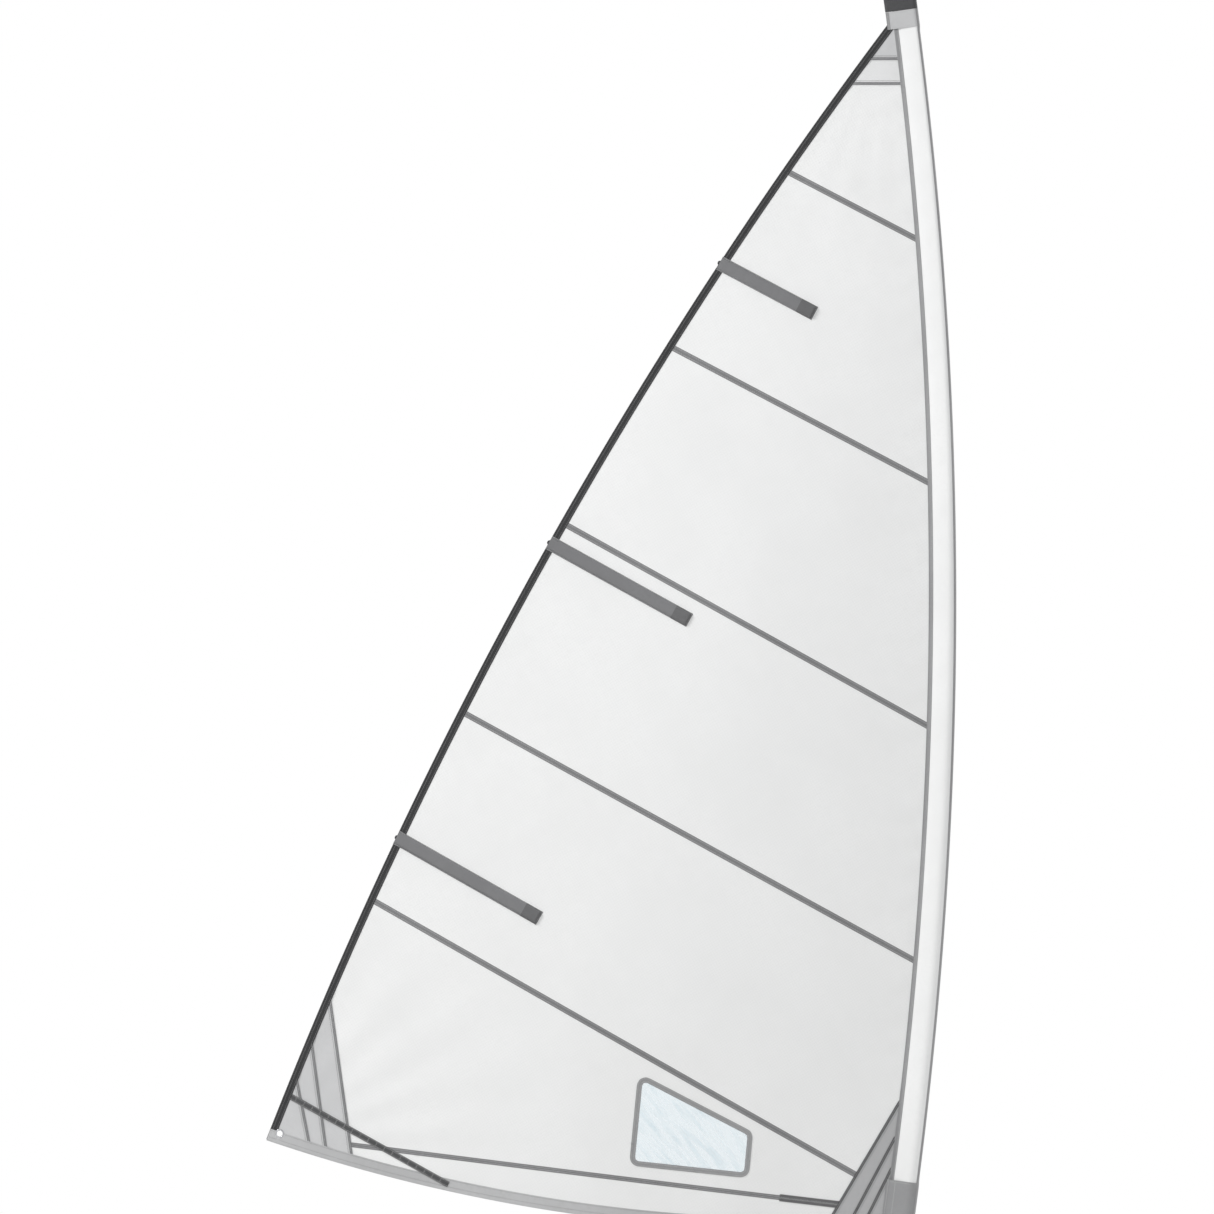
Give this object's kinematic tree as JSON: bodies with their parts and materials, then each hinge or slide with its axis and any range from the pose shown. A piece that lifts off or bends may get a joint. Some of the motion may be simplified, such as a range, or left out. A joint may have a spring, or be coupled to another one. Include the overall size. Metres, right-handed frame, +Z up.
{
  "type": "windsurf sail rig",
  "caption": "Triangular sleeved windsurf sail with battens and a clear window on a bent two-piece mast, with mast foot, universal joint and swivelling deck plate.",
  "frame": {"origin": "centre of the underside of the deck plate, on the swivel axis", "axes": "+Z up from the deck, +X forward so that the sail lies aft of the mast towards -X, and Y across; the sail's belly fills towards -Y"},
  "size_m": [2.5534, 0.1447, 4.8343],
  "materials": {
    "sailcloth": "satin",
    "window_film": "gloss",
    "seam_tape": "matte",
    "sleeve_cloth": "matte",
    "reinforcement": "matte",
    "black_webbing": "matte",
    "leech_tape": "matte",
    "foot_tape": "matte",
    "patch_cloth": "satin",
    "grey_webbing": "matte",
    "pocket_cloth": "matte",
    "batten_fibreglass": "satin",
    "black_plastic": "satin",
    "grommet_metal": "satin",
    "mast_epoxy": "gloss",
    "ferrule": "satin",
    "cast_aluminium": "satin",
    "steel": "satin",
    "white_plastic": "satin",
    "red_plastic": "satin",
    "rubber_pad": "matte",
    "brass": "satin"
  },
  "bodies": {
    "rig": {"head_panel": "sailcloth", "upper_panel": "sailcloth", "upper_middle_panel": "sailcloth", "lower_middle_panel": "sailcloth", "lower_panel": "sailcloth", "window_panel": "sailcloth", "foot_panel": "sailcloth", "window_film": "window_film", "window_tape": "seam_tape", "luff_sleeve": "sleeve_cloth", "sleeve_head_reinforcement": "reinforcement", "sleeve_foot_reinforcement": "reinforcement", "head_cap": "black_webbing", "leech_tape": "leech_tape", "foot_tape": "foot_tape", "head_patch_large": "patch_cloth", "head_patch_small": "patch_cloth", "clew_patch_large": "patch_cloth", "clew_patch_middle": "patch_cloth", "clew_patch_small": "patch_cloth", "tack_patch_large": "patch_cloth", "tack_patch_middle": "patch_cloth", "tack_patch_small": "patch_cloth", "clew_strap": "grey_webbing", "top_batten_pocket": "pocket_cloth", "middle_batten_pocket": "pocket_cloth", "bottom_batten_pocket": "pocket_cloth", "clew_grommet": "grommet_metal", "tack_grommet": "grommet_metal", "mast_bottom_section": "mast_epoxy", "mast_top_section": "mast_epoxy", "mast_ferrule": "ferrule", "mast_tip_plug": "black_plastic", "mast_foot_casting": "cast_aluminium", "downhaul_cleat": "black_plastic", "cleat_screws": "steel", "sheave_axle": "steel", "upper_yoke": "cast_aluminium", "upper_pin": "steel", "upper_pin_clip": "steel", "release_spring": "steel"},
    "top_batten": {"top_batten": "batten_fibreglass", "top_batten_cap": "black_plastic"},
    "middle_batten": {"middle_batten": "batten_fibreglass", "middle_batten_cap": "black_plastic"},
    "bottom_batten": {"bottom_batten": "batten_fibreglass", "bottom_batten_cap": "black_plastic"},
    "sheave_left": {"sheave_left": "white_plastic"},
    "sheave_right": {"sheave_right": "white_plastic"},
    "release_button": {"release_button": "red_plastic"},
    "link": {"universal_link": "black_plastic"},
    "lower_yoke": {"lower_yoke": "cast_aluminium", "lower_pin": "steel", "lower_pin_clip": "steel"},
    "deck_base": {"deck_plate": "black_plastic", "deck_pad": "rubber_pad", "swivel_washer": "steel", "deck_stud": "steel", "track_nut": "brass"}
  },
  "joints": [
    {"name": "top_batten_slide", "type": "slide", "parent": "rig", "child": "top_batten", "axis": [-0.8826, 0.0295, 0.4693], "range_m": [0, 0.37]},
    {"name": "middle_batten_slide", "type": "slide", "parent": "rig", "child": "middle_batten", "axis": [-0.8732, 0.056, 0.484], "range_m": [0, 0.57]},
    {"name": "bottom_batten_slide", "type": "slide", "parent": "rig", "child": "bottom_batten", "axis": [-0.8679, 0.0743, 0.4911], "range_m": [0, 0.59]},
    {"name": "sheave_left_spin", "type": "hinge", "parent": "rig", "child": "sheave_left", "pos_m": [-0.00545, 0, 0.18371], "axis": [0, 1, 0], "continuous": true},
    {"name": "sheave_right_spin", "type": "hinge", "parent": "rig", "child": "sheave_right", "pos_m": [-0.00545, 0, 0.18371], "axis": [0, 1, 0], "continuous": true},
    {"name": "release_press", "type": "slide", "parent": "rig", "child": "release_button", "axis": [0, 1, 0], "range_m": [0, 0.0022], "stiffness_N_per_m": 1500, "springref_m": -0.003, "deforming": ["release_spring"]},
    {"name": "rake", "type": "hinge", "parent": "rig", "child": "link", "pos_m": [0, 0, 0.086], "axis": [0, 1, 0], "range_deg": [-67, 83]},
    {"name": "heel_over", "type": "hinge", "parent": "link", "child": "lower_yoke", "pos_m": [0, 0, 0.042], "axis": [1, 0, 0], "range_deg": [-75, 75]},
    {"name": "deck_swivel", "type": "hinge", "parent": "lower_yoke", "child": "deck_base", "pos_m": [0, 0, 0], "axis": [0, 0, 1], "continuous": true}
  ]
}
